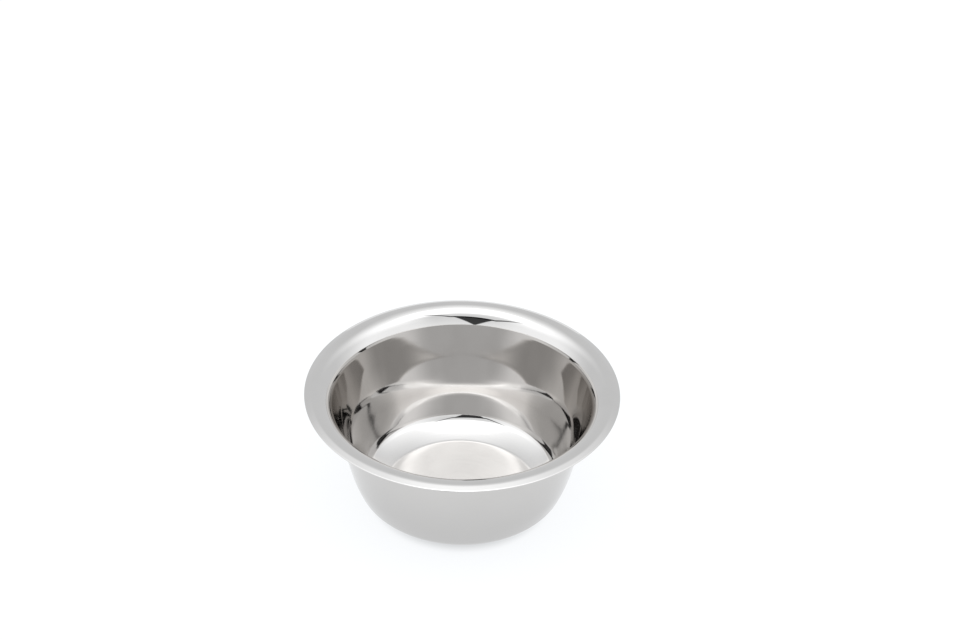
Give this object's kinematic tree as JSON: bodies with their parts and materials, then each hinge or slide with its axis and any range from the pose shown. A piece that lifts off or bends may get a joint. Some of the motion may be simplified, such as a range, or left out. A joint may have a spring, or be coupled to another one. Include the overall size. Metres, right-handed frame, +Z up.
{
  "type": "dog bowl",
  "caption": "Round mirror-polished pressed-steel feeding bowl with a tapered wall, wide rounded shoulder, sloping lip and a rubber non-slip ring under its flat base.",
  "frame": {"origin": "on the bowl's axis, in the plane of the floor that the rubber ring stands on", "axes": "+Z up along the bowl's axis of symmetry; the bowl is round, so X and Y are free"},
  "size_m": [0.16, 0.16, 0.0675],
  "materials": {
    "polished_steel": "polished",
    "ring_rubber": "matte"
  },
  "bodies": {
    "root": {"bowl_shell": "polished_steel", "non_slip_ring": "ring_rubber"}
  },
  "joints": []
}
